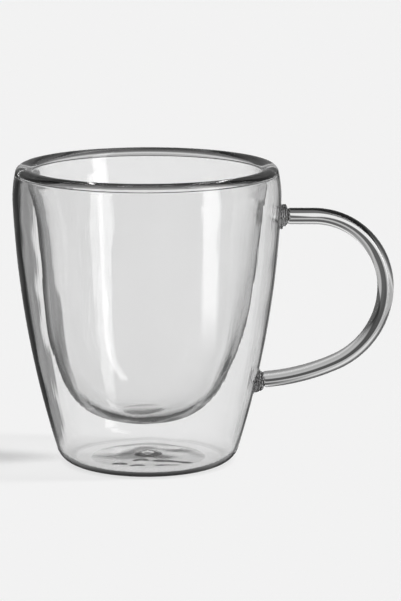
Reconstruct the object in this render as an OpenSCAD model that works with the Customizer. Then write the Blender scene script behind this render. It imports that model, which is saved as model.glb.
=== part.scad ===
// Double walled glass cup with a fused rod handle.
// Two blown walls meet in one rounded lip, with sealed air between them.
// Origin: centre of the base on the table. +Z up, handle towards +X. Millimetres.

/* [Body] */
// Overall height, from the table to the lip
height = 95; // [88:1:102]
// Outside diameter of the body at its widest
body_d = 84.8; // [80:0.2:94]
// Outside diameter that the wall would reach at the table if it had no heel
base_d = 55.4; // [48:0.2:62]
// Outside radius of the rounded heel
heel_r = 6.2; // [5:0.2:9]
// Wall of the outer shell at its shoulder
shell_t = 2.1; // [1.6:0.1:2.6]
// Wall of the outer shell at its heel, where the blown glass is stretched thin
heel_t = 1.1; // [0.8:0.1:1.8]
// Height of the drawn-in shoulder, from the widest place up to the lip
shoulder_h = 10.2; // [8:0.2:13]
// Outside radius of the shoulder's curve
shoulder_r = 37; // [30:1:48]

/* [Base] */
// Thickness of the base
base_t = 1.3; // [1:0.1:2]
// Radius inside the heel
heel_inside_r = 5; // [3.5:0.1:7]
// Width of the flat ring that the cup stands on
foot_w = 5; // [3:0.5:7]
// Rise of the pushed-up base over the table
punt_h = 0.8; // [0.6:0.1:1.6]
// Diameter of the vent that the hot air left by
vent_d = 5; // [3:0.5:7]
// Diameter of the melted pip's head over the vent
pip_d = 9; // [8:0.5:12]
// Rise of the pip's head over the floor
pip_h = 0.9; // [0.6:0.1:1.8]
// Drop of the pip under the pushed-up base
pip_drop = 0.4; // [0.2:0.1:0.5]

/* [Bowl] */
// Wall of the inner bowl
bowl_t = 2; // [1.5:0.1:2.5]
// Air under the bowl, over the foot ring
under_bowl = 12.6; // [10:0.2:16]
// Width of the air gap where it ends under the lip
crevice_w = 1.4; // [1:0.1:2]
// Rise of the low glass lens in the bowl's floor
lens_h = 0.7; // [0.3:0.1:1.2]

/* [Lip] */
// Height of the fused lip, from where the two walls meet it
lip_h = 3.4; // [2.8:0.1:4.4]

/* [Handle] */
// Diameter of the glass rod
rod_d = 5.2; // [4:0.1:6]
// Distance of the rod's upper arm under the lip
upper_drop = 16.3; // [13:0.1:20]
// Height at which the rod's lower arm meets the wall
lower_z = 25.1; // [22:0.1:32]
// Furthest reach of the rod's centre line from the widest part of the body
handle_out = 33.1; // [28:0.1:40]
// Bend radius of the upper corner, on the centre line
upper_bend_r = 22.8; // [18:0.5:25]
// Upward slope of the lower arm as it leaves the wall, in degrees
lower_slope = 11; // [6:1:14]

/* [Welds] */
// Length of a fused collar along the rod
weld_l = 3; // [2.4:0.1:4]
// Radius of the molten knob on the wall
knob_r = 4.1; // [3.6:0.1:5]
// Radius of the crinkle rings round the collar
crinkle_r = 0.85; // [0.6:0.05:1]

/* [Hidden] */
$fn = 128;
overrun = 1;
chord_error = 0.02;
rod_sides = 24;
clear_glass = [0.80, 0.86, 0.88, 0.45];
fused_glass = [0.70, 0.77, 0.80, 0.60];

// Points of an arc, close enough together to stay within the chord error
function arc_steps(r, turn) = ceil(abs(turn) / (2 * acos(1 - chord_error / r)));
function arc(c, r, from, to) = [for (i = [0 : arc_steps(r, to - from)])
    let (a = from + (to - from) * i / arc_steps(r, to - from)) c + r * [cos(a), sin(a)]];
// An arc without its first point, to carry on a line that ends there
function arc_on(c, r, from, to) = [for (i = [1 : arc_steps(r, to - from)])
    let (a = from + (to - from) * i / arc_steps(r, to - from)) c + r * [cos(a), sin(a)]];
// Radius of a round cap from its edge radius and its rise
function cap_r(edge_r, rise) = (edge_r * edge_r + rise * rise) / (2 * rise);
// Direction from one point to another, as an angle
function bearing(from, to) = atan2(to[1] - from[1], to[0] - from[0]);

// Direction square to a wall that leans out by an angle from upright, away from the axis
function lean_dir(lean) = [cos(lean), -sin(lean)];
// Centre of a round corner that touches a larger arc from inside, at a given height
function corner_c(c, arc_r, r, z) = [c[0] + sqrt(pow(arc_r - r, 2) - pow(z - c[1], 2)), z];
// Radius of an arc that carries on from another arc, in a given direction, and passes through a point
function carry_r(c, r, dir, point) = let (away = point - c)
    (away * away + r * r - 2 * r * (away * dir)) / (2 * (r - away * dir));

// The outer wall is one long arc that carries on from the shoulder down to the heel.
// Inside, an arc of its own does the same, so that the wall thins on its way down.
body_r = body_d / 2;
shoulder_z = height - shoulder_h;
shoulder_lean = 2.3;
shoulder_c = [body_r - shoulder_r, shoulder_z];
shoulder_in_r = shoulder_r - shell_t;
wall_r = carry_r(shoulder_c, shoulder_r, lean_dir(shoulder_lean), [base_d / 2, 0]);
wall_in_r = carry_r(shoulder_c, shoulder_in_r, lean_dir(shoulder_lean), [base_d / 2 - heel_t, 0]);
wall_c = shoulder_c - (wall_r - shoulder_r) * lean_dir(shoulder_lean);
wall_in_c = shoulder_c - (wall_in_r - shoulder_in_r) * lean_dir(shoulder_lean);
function wall_x(z) = wall_c[0] + sqrt(wall_r * wall_r - pow(z - wall_c[1], 2));
heel_c = corner_c(wall_c, wall_r, heel_r, heel_r);
heel_in_c = corner_c(wall_in_c, wall_in_r, heel_inside_r, base_t + heel_inside_r);
heel_end = bearing(wall_c, heel_c);
heel_in_end = bearing(wall_in_c, heel_in_c);

// The lip's outer round touches the shoulder from inside
seam_z = height - lip_h;
lip_round_share = 0.7;
lip_r = lip_h * lip_round_share;
lip_c = corner_c(shoulder_c, shoulder_r, lip_r, height - lip_r);
lip_start = bearing(shoulder_c, lip_c);
seam_angle = asin((seam_z - shoulder_z) / shoulder_r);
seam_in_angle = asin((seam_z - shoulder_z) / shoulder_in_r);

// The pushed-up base is a shallow dome inside the foot ring, and the floor over it runs parallel
vent_r = vent_d / 2;
pip_r = pip_d / 2;
punt_edge_r = heel_c[0] - foot_w;
punt_r = cap_r(punt_edge_r, punt_h);
punt_c = [0, punt_h - punt_r];
dome_r = punt_r + base_t;
// Angle at which a dome of a given radius reaches a given width
function on_dome(r, x) = acos(x / r);
dome_edge_x = sqrt(dome_r * dome_r - pow(base_t - punt_c[1], 2));

// The bowl is a chain of arcs that touch, with the lean of its wall given at each joint.
// Its floor and belly rise by shares of its mouth's radius, and its sides take the rest of the depth.
bowl_z = base_t + under_bowl;
bowl_seam_x = shoulder_c[0] + shoulder_in_r * cos(seam_in_angle) - crevice_w;
floor_rise_share = 0.284;
belly_rise_share = 0.542;
flare_rise_share = 0.545;
floor_rise = bowl_seam_x * floor_rise_share;
belly_rise = bowl_seam_x * belly_rise_share;
side_rise = seam_z - bowl_z - floor_rise - belly_rise;
flare_rise = side_rise * flare_rise_share;
straight_rise = side_rise - flare_rise;
lip_lean = 13.5;
waist_lean = 4.2;
belly_lean = 9.5;
floor_lean = 27.5;
flare_r = flare_rise / (sin(lip_lean) - sin(waist_lean));
straight_r = straight_rise / (sin(belly_lean) - sin(waist_lean));
belly_r = belly_rise / (sin(floor_lean) - sin(belly_lean));
floor_r = floor_rise / (1 - sin(floor_lean));
flare_c = [bowl_seam_x, seam_z] + flare_r * lean_dir(lip_lean);
straight_c = flare_c - (flare_r + straight_r) * lean_dir(waist_lean);
belly_c = straight_c + (straight_r - belly_r) * lean_dir(belly_lean);
floor_c = belly_c + (belly_r - floor_r) * lean_dir(floor_lean);

// The lip's round on the drinking side meets the outer round at the top and touches the inside of the flare
mouth_r = flare_r + bowl_t;
mouth_rise = height - flare_c[1];
mouth_in = flare_c[0] - lip_c[0];
mouth_round_r = (pow(mouth_r, 2) - pow(mouth_rise, 2) - pow(mouth_in, 2)) / (2 * (mouth_r - mouth_rise));
mouth_c = [lip_c[0], height - mouth_round_r];
mouth_start = bearing(flare_c, mouth_c);
mouth_seam = 180 - asin((seam_z - flare_c[1]) / mouth_r);

// The handle's centre line: upper arm, upper bend, lower bend and lower arm, all in the XZ plane
rod_r = rod_d / 2;
reach = body_r + handle_out;
upper_z = height - upper_drop;
upper_x = wall_x(upper_z);
lower_x = wall_x(lower_z);
lower_turn = 90 - lower_slope;
upper_bend_c = [reach - upper_bend_r, upper_z - upper_bend_r];
lower_bend_r = (upper_bend_c[1] - lower_z - (reach - lower_x) * tan(lower_slope))
    / (sin(lower_turn) - (1 - cos(lower_turn)) * tan(lower_slope));
lower_bend_c = [reach - lower_bend_r, upper_bend_c[1]];
lower_arm_start = [lower_x, lower_z] + weld_l * [cos(lower_slope), sin(lower_slope)];
rod_line = concat([[upper_x + weld_l, upper_z]],
    arc(upper_bend_c, upper_bend_r, 90, 0),
    arc_on(lower_bend_c, lower_bend_r, 0, -lower_turn),
    [lower_arm_start]);
rod_headings = concat([0],
    [for (i = [0 : arc_steps(upper_bend_r, 90)]) -90 * i / arc_steps(upper_bend_r, 90)],
    [for (i = [1 : arc_steps(lower_bend_r, lower_turn)])
        -90 - lower_turn * i / arc_steps(lower_bend_r, lower_turn)],
    [-90 - lower_turn]);

// Outline of the shell's outside, from the foot's outer edge up to the seam
shell_line = concat(
    arc(heel_c, heel_r, -90, heel_end),
    arc_on(wall_c, wall_r, heel_end, -shoulder_lean),
    arc_on(shoulder_c, shoulder_r, -shoulder_lean, seam_angle));
// Outline of the lip's outside, from the seam up to the top
lip_line = concat(
    arc(shoulder_c, shoulder_r, seam_angle, lip_start),
    arc_on(lip_c, lip_r, lip_start, 90));
// Outline of one side of the bowl, from the centre of its floor up to the seam
function bowl_line(inset, end) = concat(
    arc(floor_c, floor_r - inset, -90, -floor_lean),
    arc_on(belly_c, belly_r - inset, -floor_lean, -belly_lean),
    arc_on(straight_c, straight_r - inset, -belly_lean, -waist_lean),
    arc_on(flare_c, flare_r + inset, 180 - waist_lean, end));
function backwards(line) = [for (i = [len(line) - 1 : -1 : 0]) line[i]];

module outer_shell() {
    color(clear_glass) rotate_extrude() polygon(concat(
        arc(punt_c, punt_r, on_dome(punt_r, vent_r), on_dome(punt_r, punt_edge_r)),
        shell_line,
        arc(shoulder_c, shoulder_in_r, seam_in_angle, -shoulder_lean),
        arc_on(wall_in_c, wall_in_r, -shoulder_lean, heel_in_end),
        arc_on(heel_in_c, heel_inside_r, heel_in_end, -90),
        arc(punt_c, dome_r, on_dome(dome_r, dome_edge_x), on_dome(dome_r, pip_r)),
        arc_on(punt_c, dome_r, on_dome(dome_r, pip_r), on_dome(dome_r, vent_r))));
}

// The floor of the bowl rises to a low lens as wide as the flat of the floor
module inner_bowl() {
    lens_edge_r = floor_c[0];
    lens_r = cap_r(lens_edge_r, lens_h);
    lens_c = [0, bowl_z + bowl_t + lens_h - lens_r];
    color(clear_glass) rotate_extrude() polygon(concat(
        [[0, bowl_z]],
        bowl_line(0, 180 - lip_lean),
        backwards(bowl_line(bowl_t, mouth_seam)),
        arc_on(lens_c, lens_r, on_dome(lens_r, lens_edge_r), 90)));
}

// The lip stands on the tops of both walls and arches over the end of the air gap
module rim_bead() {
    color(fused_glass) rotate_extrude() polygon(concat(
        lip_line,
        arc_on(mouth_c, mouth_round_r, 90, mouth_start),
        arc_on(flare_c, mouth_r, mouth_start, mouth_seam),
        arc([bowl_seam_x + crevice_w / 2, seam_z], crevice_w / 2, 180, 0)));
}

// The rod is swept along its line, one ring of points square to each heading
module handle_rod() {
    rings = len(rod_line);
    points = [for (i = [0 : rings - 1], k = [0 : rod_sides - 1])
        let (a = 360 * k / rod_sides, out = rod_r * cos(a), side = rod_r * sin(a), h = rod_headings[i])
        [rod_line[i][0] - out * sin(h), side, rod_line[i][1] + out * cos(h)]];
    sides = [for (i = [0 : rings - 2], k = [0 : rod_sides - 1])
        let (a = i * rod_sides, next = (k + 1) % rod_sides)
        [a + k, a + next, a + rod_sides + next, a + rod_sides + k]];
    start_cap = [for (k = [rod_sides - 1 : -1 : 0]) k];
    end_cap = [for (k = [0 : rod_sides - 1]) (rings - 1) * rod_sides + k];
    color(clear_glass) polyhedron(points, concat([start_cap], sides, [end_cap]));
}

// A round disc in a collar's profile, at a distance from its axis and along it
module bead(out, along, r) {
    translate([out, along]) circle(r);
}

// Everything inside the cup's outer surface, with the revolve's seam on the side away from the handle
module cup_outside() {
    rotate([0, 0, 180]) rotate_extrude() polygon(concat([[0, 0]], shell_line, [[0, seam_z]]));
}

// A molten collar: a knob on the wall and two crinkle rings, cut off square where the rod starts
knob_sink_share = 0.3;
crinkle_shares = [0.25, 0.6];
crinkle_out_share = 0.4;
module weld(at, slope) {
    knob_z = -knob_r * knob_sink_share;
    difference() {
        translate([at[0], 0, at[1]]) rotate([0, 90 - slope, 0]) rotate_extrude() intersection() {
            union() {
                bead(0, knob_z, knob_r);
                translate([0, knob_z]) square([rod_r, weld_l - knob_z + overrun]);
                for (share = crinkle_shares)
                    bead(rod_r + crinkle_r * crinkle_out_share, weld_l * share, crinkle_r);
            }
            translate([0, knob_z - knob_r - overrun])
                square([knob_r + overrun, weld_l - knob_z + knob_r + overrun]);
        }
        cup_outside();
    }
}

module upper_handle_weld() {
    color(fused_glass) weld([upper_x, upper_z], 0);
}

module lower_handle_weld() {
    color(fused_glass) weld([lower_x, lower_z], lower_slope);
}

// The pip fills the vent, swells over the floor inside and hangs a little under the dome
module vent_seal() {
    under_z = punt_c[1] + sqrt(punt_r * punt_r - vent_r * vent_r);
    edge_z = punt_c[1] + sqrt(dome_r * dome_r - pip_r * pip_r);
    head_r = cap_r(pip_r, pip_h);
    head_c = [0, edge_z + pip_h - head_r];
    drop_r = cap_r(vent_r, pip_drop);
    drop_c = [0, under_z - pip_drop + drop_r];
    color(fused_glass) rotate_extrude() polygon(concat(
        arc(head_c, head_r, 90, on_dome(head_r, pip_r)),
        arc_on(punt_c, dome_r, on_dome(dome_r, pip_r), on_dome(dome_r, vent_r)),
        arc(drop_c, drop_r, -on_dome(drop_r, vent_r), -90)));
}

inner_bowl();
outer_shell();
rim_bead();
handle_rod();
upper_handle_weld();
lower_handle_weld();
vent_seal();
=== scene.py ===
# %% [markdown]
# # A double walled glass cup
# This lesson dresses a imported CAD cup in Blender. The cup is lampworked clear glass: an egg-shaped
# drinking bowl hangs inside a tapered outer shell, both melt into one rounded lip, and a bent glass rod
# is fused on as an ear. Clear glass has almost no colour of its own. What the eye reads is bent light,
# so every wall needs its true thickness, and the light matters as much as the shapes.

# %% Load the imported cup
import math
from functools import partial

import bmesh
import bpy
from mathutils import Matrix, Vector, noise


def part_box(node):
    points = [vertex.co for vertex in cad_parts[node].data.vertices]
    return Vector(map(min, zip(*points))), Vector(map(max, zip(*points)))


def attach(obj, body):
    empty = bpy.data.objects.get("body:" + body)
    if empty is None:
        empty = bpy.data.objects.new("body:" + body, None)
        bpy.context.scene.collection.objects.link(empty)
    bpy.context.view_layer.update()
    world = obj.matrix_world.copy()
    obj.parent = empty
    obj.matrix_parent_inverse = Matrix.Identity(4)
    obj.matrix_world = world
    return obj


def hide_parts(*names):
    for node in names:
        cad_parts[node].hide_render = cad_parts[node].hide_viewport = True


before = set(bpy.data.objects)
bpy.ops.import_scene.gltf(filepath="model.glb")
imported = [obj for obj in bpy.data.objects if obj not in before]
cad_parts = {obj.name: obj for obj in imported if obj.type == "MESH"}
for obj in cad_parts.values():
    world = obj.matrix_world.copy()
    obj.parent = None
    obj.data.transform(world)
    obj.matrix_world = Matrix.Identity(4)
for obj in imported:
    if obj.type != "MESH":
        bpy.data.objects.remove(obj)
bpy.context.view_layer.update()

MM = 0.001
print("nodes:", sorted(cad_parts))

# %% [markdown]
# ## Sizes
# The frame gives the places that every piece shares: the lip, the seam under the lip, the widest ring and
# the underside of the bowl. The walls between them are arcs that touch each other, so a few radii and the
# lean of the wall at each joint say the rest. A wall could also be drawn as a free curve, but arcs that
# touch leave no kink, and a glass wall is a lens that shows a kink at once. The names that end in T are
# thicknesses: the shell thins from its shoulder to its heel. The bowl's floor swells in the middle by
# LENS_H, and the air gap closes under the lip in a crevice CREVICE_W wide.

# %% Heights and widths from the frame
TOP_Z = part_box("rim_bead")[1].z
SEAM_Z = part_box("rim_bead")[0].z
BODY_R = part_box("outer_shell")[1].y
BOWL_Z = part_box("inner_bowl")[0].z
SHELL_T = 2.1 * MM
HEEL_T = 1.1 * MM
BASE_T = 1.3 * MM
BOWL_T = 2.0 * MM
LENS_H = 0.7 * MM
CREVICE_W = 1.4 * MM
print("lip at", round(TOP_Z, 4), "seam at", round(SEAM_Z, 4), "bowl floor at", round(BOWL_Z, 4))

# %% [markdown]
# ## A turning pencil
# One vertex is the pencil. Spinning it about an arc's centre draws that arc as edges, and extruding it
# draws a straight line, so a long profile of arcs that touch needs only their centres and turns. The
# finished line is then spun once round the cup's axis, as a lathe would turn it.

# %% The pencil
ARC_STEP = 1.1 * MM
TURN_STEP = 6
SAME_POINT = 0.5e-6


class Pencil:
    """Draws a profile in the XZ plane from one vertex, by turns about centres and by straight runs."""

    def __init__(self, start):
        self.bm = bmesh.new()
        self.tip = self.bm.verts.new((start[0], 0, start[1]))

    def turn(self, centre, degrees, step=ARC_STEP):
        """Spin the tip about a centre: positive turns go from +X towards +Z."""
        reach = (self.tip.co - Vector((centre[0], 0, centre[1]))).length
        length = reach * math.radians(abs(degrees))
        steps = max(2, math.ceil(length / step), math.ceil(abs(degrees) / TURN_STEP))
        made = bmesh.ops.spin(self.bm, geom=[self.tip], cent=(centre[0], 0, centre[1]), axis=(0, -1, 0),
                              angle=math.radians(degrees), steps=steps)
        self.tip = [g for g in made["geom_last"] if isinstance(g, bmesh.types.BMVert)][0]

    def run(self, point):
        """Draw a straight line to a point."""
        made = bmesh.ops.extrude_vert_indiv(self.bm, verts=[self.tip])
        self.tip = made["verts"][0]
        self.tip.co = (point[0], 0, point[1])

    def lathe(self, steps):
        """Spin the line once round the Z axis and close the poles."""
        bm = self.bm
        bmesh.ops.spin(bm, geom=bm.verts[:] + bm.edges[:], cent=(0, 0, 0), axis=(0, 0, 1),
                       angle=math.tau, steps=steps, use_merge=True)
        bmesh.ops.remove_doubles(bm, verts=bm.verts[:], dist=SAME_POINT)
        bmesh.ops.recalc_face_normals(bm, faces=bm.faces[:])
        return bm


def piece(name, bm, slot, finish, *nodes):
    """Turn a bmesh into a smooth object that stands for its CAD nodes."""
    mesh = bpy.data.meshes.new(name)
    print("open edges", sum(1 for edge in bm.edges if len(edge.link_faces) != 2))
    bm.to_mesh(mesh)
    bm.free()
    for face in mesh.polygons:
        face.use_smooth = True
    mesh.materials.append(finish)
    made = bpy.data.objects.new(name, mesh)
    bpy.context.scene.collection.objects.link(made)
    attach(made, "root")
    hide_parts(*nodes)
    print(name, len(mesh.polygons), "faces for", ", ".join(nodes))


print("pencil steps of", ARC_STEP, "m")

# %% [markdown]
# ## Clear glass
# Real glass of this kind is colourless, with an index of about 1.47. It isn't perfectly even: the walls
# keep faint upright draw lines from the tube that they were blown from. The lines are a noise that is
# read on the unit circle round the axis, so that they follow the tapering wall, and they only tilt the
# surface a little. They sit in a node group, because the body and the rod both have them.

# %% The draw lines
LINES_ROUND = 14
LINE_DRIFT = 6
LINE_DETAIL = 2


def calc(tree, operation, first, second=0):
    """A Math node from two values, each a socket or a number."""
    node = tree.nodes.new("ShaderNodeMath")
    node.operation = operation
    for socket, value in zip(node.inputs, (first, second)):
        if isinstance(value, bpy.types.NodeSocket):
            tree.links.new(value, socket)
        else:
            socket.default_value = value
    return node.outputs["Value"]


def draw_lines_group():
    """A node group that puts out a height of faint upright lines, for the Height of a Bump node."""
    group = bpy.data.node_groups.new("draw_lines", "ShaderNodeTree")
    for name, value in (("Lines", LINES_ROUND), ("Drift", LINE_DRIFT)):
        socket = group.interface.new_socket(name, in_out="INPUT", socket_type="NodeSocketFloat")
        socket.default_value = value
    group.interface.new_socket("Height", in_out="OUTPUT", socket_type="NodeSocketFloat")
    nodes, links = group.nodes, group.links
    given = nodes.new("NodeGroupInput")
    put = nodes.new("NodeGroupOutput")
    coord = nodes.new("ShaderNodeTexCoord")
    split = nodes.new("ShaderNodeSeparateXYZ")
    flat = nodes.new("ShaderNodeCombineXYZ")
    unit = nodes.new("ShaderNodeVectorMath")
    unit.operation = "NORMALIZE"
    around = nodes.new("ShaderNodeVectorMath")
    around.operation = "SCALE"
    spot = nodes.new("ShaderNodeCombineXYZ")
    place = nodes.new("ShaderNodeVectorMath")
    place.operation = "ADD"
    lines = nodes.new("ShaderNodeTexNoise")
    lines.inputs["Scale"].default_value = 1
    lines.inputs["Detail"].default_value = LINE_DETAIL
    links.new(coord.outputs["Object"], split.inputs["Vector"])
    links.new(split.outputs["X"], flat.inputs["X"])
    links.new(split.outputs["Y"], flat.inputs["Y"])
    links.new(flat.outputs["Vector"], unit.inputs[0])
    links.new(unit.outputs["Vector"], around.inputs[0])
    links.new(given.outputs["Lines"], around.inputs["Scale"])
    links.new(calc(group, "MULTIPLY", split.outputs["Z"], given.outputs["Drift"]), spot.inputs["Z"])
    links.new(around.outputs["Vector"], place.inputs[0])
    links.new(spot.outputs["Vector"], place.inputs[1])
    links.new(place.outputs["Vector"], lines.inputs["Vector"])
    links.new(lines.outputs["Fac"], put.inputs["Height"])
    return group


DRAW_LINES = draw_lines_group()
print("made", DRAW_LINES.name)

# %% [markdown]
# A lamp's light passes thin glass almost freely. Tracing it there would speckle the floor, so rays
# towards lamps meet a film in place of the glass, with one grey face-on and a darker one edge-on. The
# walls' film is nearly clear. The solid rod bends most of a lamp's light away, so its film is dark, and
# its shadow with it.

# %% Glass for the body and the rod
IOR = 1.47
CLEAR_TINT = (0.996, 0.996, 0.996)
CLEAR_FILM = (0.99, 0.97)
ROD_FILM = (0.2, 0.1)
LINE_DEEP = 0.2 * MM
LINE_STRENGTH = 0.1


def glass_material(name, tint, film):
    """Clear glass of a tint, with the two greys of its film."""
    material = bpy.data.materials.new(name)
    material.use_nodes = True
    tree = material.node_tree
    shader = tree.nodes["Principled BSDF"]
    shader.inputs["Base Color"].default_value = (*tint, 1)
    shader.inputs["Roughness"].default_value = 0
    shader.inputs["IOR"].default_value = IOR
    shader.inputs["Transmission Weight"].default_value = 1
    lamp_film = tree.nodes.new("ShaderNodeBsdfTransparent")
    facing = tree.nodes.new("ShaderNodeLayerWeight")
    film_grey = tree.nodes.new("ShaderNodeMix")
    film_grey.data_type = "RGBA"
    for end, grey in zip("AB", film):
        film_grey.inputs[end].default_value = (grey, grey, grey, 1)
    tree.links.new(facing.outputs["Facing"], film_grey.inputs["Factor"])
    tree.links.new(film_grey.outputs["Result"], lamp_film.inputs["Color"])
    path = tree.nodes.new("ShaderNodeLightPath")
    mix = tree.nodes.new("ShaderNodeMixShader")
    tree.links.new(path.outputs["Is Shadow Ray"], mix.inputs["Fac"])
    tree.links.new(shader.outputs["BSDF"], mix.inputs[1])
    tree.links.new(lamp_film.outputs["BSDF"], mix.inputs[2])
    tree.links.new(mix.outputs["Shader"], tree.nodes["Material Output"].inputs["Surface"])
    return material, shader


def add_bump(material, shader, height, distance, strength):
    """Tilt the surface by a height that a node puts out."""
    bump = material.node_tree.nodes.new("ShaderNodeBump")
    bump.inputs["Distance"].default_value = distance
    bump.inputs["Strength"].default_value = strength
    material.node_tree.links.new(height, bump.inputs["Height"])
    material.node_tree.links.new(bump.outputs["Normal"], shader.inputs["Normal"])


def drawn_glass(name, film):
    """Clear glass with draw lines."""
    material, shader = glass_material(name, CLEAR_TINT, film)
    drawn = material.node_tree.nodes.new("ShaderNodeGroup")
    drawn.node_tree = DRAW_LINES
    add_bump(material, shader, drawn.outputs["Height"], LINE_DEEP, LINE_STRENGTH)
    print("made", material.name)
    return material


clear_glass = drawn_glass("clear_lampworked", CLEAR_FILM)
rod_glass = drawn_glass("clear_rod", ROD_FILM)

# %% [markdown]
# ## Fused glass
# Where glass was melted on, it was pinched and folded as it cooled. The folds bend light into dark wavy
# lines, and fine seeds, which are tiny trapped bubbles, pit the shine. A distorted wave in the colour
# paints those dark lines in as shade, and a cell pattern in the bump makes the seeds, on top of lumps
# that are real geometry. The pip in the base cooled without a pinch, so it stays clear.

# %% The melted places
FUSED_TINT = (0.985, 0.985, 0.985)
FUSED_FILM = (0.6, 0.4)
SEEDS_PER_M = 1400
SEED_DEEP = 0.15 * MM
SEED_STRENGTH = 0.6
FOLD_SCALE = 460
FOLD_WARP = 7
FOLD_DETAIL = 3
FOLD_DETAIL_SCALE = 1.2
FOLD_SHADE_TONES = ((0.32, 0.02), (0.6, 0.98))


def tone_ramp(tree, value, tones):
    """Grey tones over a value, from (value, tone) stops in rising order."""
    low, high = tones[0][0], tones[-1][0]
    spread = tree.nodes.new("ShaderNodeMapRange")
    spread.inputs["From Min"].default_value = low
    spread.inputs["From Max"].default_value = high
    tree.links.new(value, spread.inputs["Value"])
    ramp = tree.nodes.new("ShaderNodeValToRGB")
    for stop in tones[1:-1]:
        ramp.color_ramp.elements.new((stop[0] - low) / (high - low))
    for element, (at, tone) in zip(ramp.color_ramp.elements, tones):
        element.position = (at - low) / (high - low)
        element.color = (tone, tone, tone, 1)
    tree.links.new(spread.outputs["Result"], ramp.inputs["Fac"])
    return ramp.outputs["Color"]


fused_glass, fused_shader = glass_material("fused_lampworked", FUSED_TINT, FUSED_FILM)
fused_tree = fused_glass.node_tree
fused_coord = fused_tree.nodes.new("ShaderNodeTexCoord")
seeds = fused_tree.nodes.new("ShaderNodeTexVoronoi")
seeds.inputs["Scale"].default_value = SEEDS_PER_M
folds = fused_tree.nodes.new("ShaderNodeTexWave")
folds.inputs["Scale"].default_value = FOLD_SCALE
folds.inputs["Distortion"].default_value = FOLD_WARP
folds.inputs["Detail"].default_value = FOLD_DETAIL
folds.inputs["Detail Scale"].default_value = FOLD_DETAIL_SCALE
for pattern in (seeds, folds):
    fused_tree.links.new(fused_coord.outputs["Object"], pattern.inputs["Vector"])
# Painted shade: the folds' dark lines are put into the glass's colour.
painted_fold_shade = tone_ramp(fused_tree, folds.outputs["Fac"], FOLD_SHADE_TONES)
fused_tree.links.new(painted_fold_shade, fused_shader.inputs["Base Color"])
add_bump(fused_glass, fused_shader, seeds.outputs["Distance"], SEED_DEEP, SEED_STRENGTH)
pip_glass = glass_material("fused_pip", FUSED_TINT, FUSED_FILM)[0]
print("made", fused_glass.name, pip_glass.name)


# %% [markdown]
# ## Arcs of the walls
# The same few rules give every arc. A round corner touches a larger arc from inside, a wall carries on
# from the shoulder's arc to the table, and a shallow dome follows from its edge and its rise.

# %% Rules for arcs that touch
def sine(degrees):
    """Sine of an angle in degrees."""
    return math.sin(math.radians(degrees))


def cosine(degrees):
    """Cosine of an angle in degrees."""
    return math.cos(math.radians(degrees))


def towards(lean):
    """Direction square to a wall that leans out by an angle from upright, away from the axis."""
    return Vector((cosine(lean), -sine(lean)))


def corner(centre, arc_r, r, z):
    """Centre of a round corner of radius r, at height z, that touches a larger arc from inside."""
    return Vector((centre.x + math.sqrt((arc_r - r) ** 2 - (z - centre.y) ** 2), z))


def bearing(start, end):
    """Angle of the way from one point to another, in degrees."""
    return math.degrees(math.atan2(end.y - start.y, end.x - start.x))


def carry_r(centre, r, way, point):
    """Radius of an arc that carries on from another arc and passes through a point."""
    away = point - centre
    return (away.length_squared + r * r - 2 * r * away.dot(way)) / (2 * (r - away.dot(way)))


def cap_r(edge_r, rise):
    """Radius of a shallow dome from its edge and its rise."""
    return (edge_r * edge_r + rise * rise) / (2 * rise)


def on_dome(r, x):
    """Angle at which a dome of radius r reaches a width x, in degrees."""
    return math.degrees(math.acos(x / r))


print("a dome 40 wide that rises 1 is part of a ball of radius", cap_r(20, 1))

# %% The outer wall
SHOULDER_H = 10.2 * MM
SHOULDER_R = 37 * MM
SHOULDER_LEAN = 2.3
BASE_R = 27.7 * MM
HEEL_R = 6.2 * MM
HEEL_IN_R = 5 * MM
LIP_ROUND_SHARE = 0.7
shoulder_way = towards(SHOULDER_LEAN)
shoulder_c = Vector((BODY_R - SHOULDER_R, TOP_Z - SHOULDER_H))
shoulder_in_r = SHOULDER_R - SHELL_T
wall_r = carry_r(shoulder_c, SHOULDER_R, shoulder_way, Vector((BASE_R, 0)))
wall_c = shoulder_c - (wall_r - SHOULDER_R) * shoulder_way
wall_in_r = carry_r(shoulder_c, shoulder_in_r, shoulder_way, Vector((BASE_R - HEEL_T, 0)))
wall_in_c = shoulder_c - (wall_in_r - shoulder_in_r) * shoulder_way
heel_c = corner(wall_c, wall_r, HEEL_R, HEEL_R)
heel_in_c = corner(wall_in_c, wall_in_r, HEEL_IN_R, BASE_T + HEEL_IN_R)
lip_r = (TOP_Z - SEAM_Z) * LIP_ROUND_SHARE
lip_c = corner(shoulder_c, SHOULDER_R, lip_r, TOP_Z - lip_r)
seam_in = math.degrees(math.asin((SEAM_Z - shoulder_c.y) / shoulder_in_r))
bowl_seam_r = shoulder_c.x + shoulder_in_r * cosine(seam_in) - CREVICE_W


def wall_x(z):
    """Radius of the cup's outer wall at a height."""
    return wall_c.x + math.sqrt(wall_r * wall_r - (z - wall_c.y) ** 2)


print("wall arc", round(wall_r, 4), "heel centre", tuple(round(v, 4) for v in heel_c))

# %% The bowl
FLOOR_RISE_SHARE = 0.284
BELLY_RISE_SHARE = 0.542
FLARE_RISE_SHARE = 0.545
LIP_LEAN = 13.5
WAIST_LEAN = 4.2
BELLY_LEAN = 9.5
FLOOR_LEAN = 27.5
floor_rise = bowl_seam_r * FLOOR_RISE_SHARE
belly_rise = bowl_seam_r * BELLY_RISE_SHARE
side_rise = SEAM_Z - BOWL_Z - floor_rise - belly_rise
flare_rise = side_rise * FLARE_RISE_SHARE
flare_r = flare_rise / (sine(LIP_LEAN) - sine(WAIST_LEAN))
straight_r = (side_rise - flare_rise) / (sine(BELLY_LEAN) - sine(WAIST_LEAN))
belly_r = belly_rise / (sine(FLOOR_LEAN) - sine(BELLY_LEAN))
floor_r = floor_rise / (1 - sine(FLOOR_LEAN))
flare_c = Vector((bowl_seam_r, SEAM_Z)) + flare_r * towards(LIP_LEAN)
straight_c = flare_c - (flare_r + straight_r) * towards(WAIST_LEAN)
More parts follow.
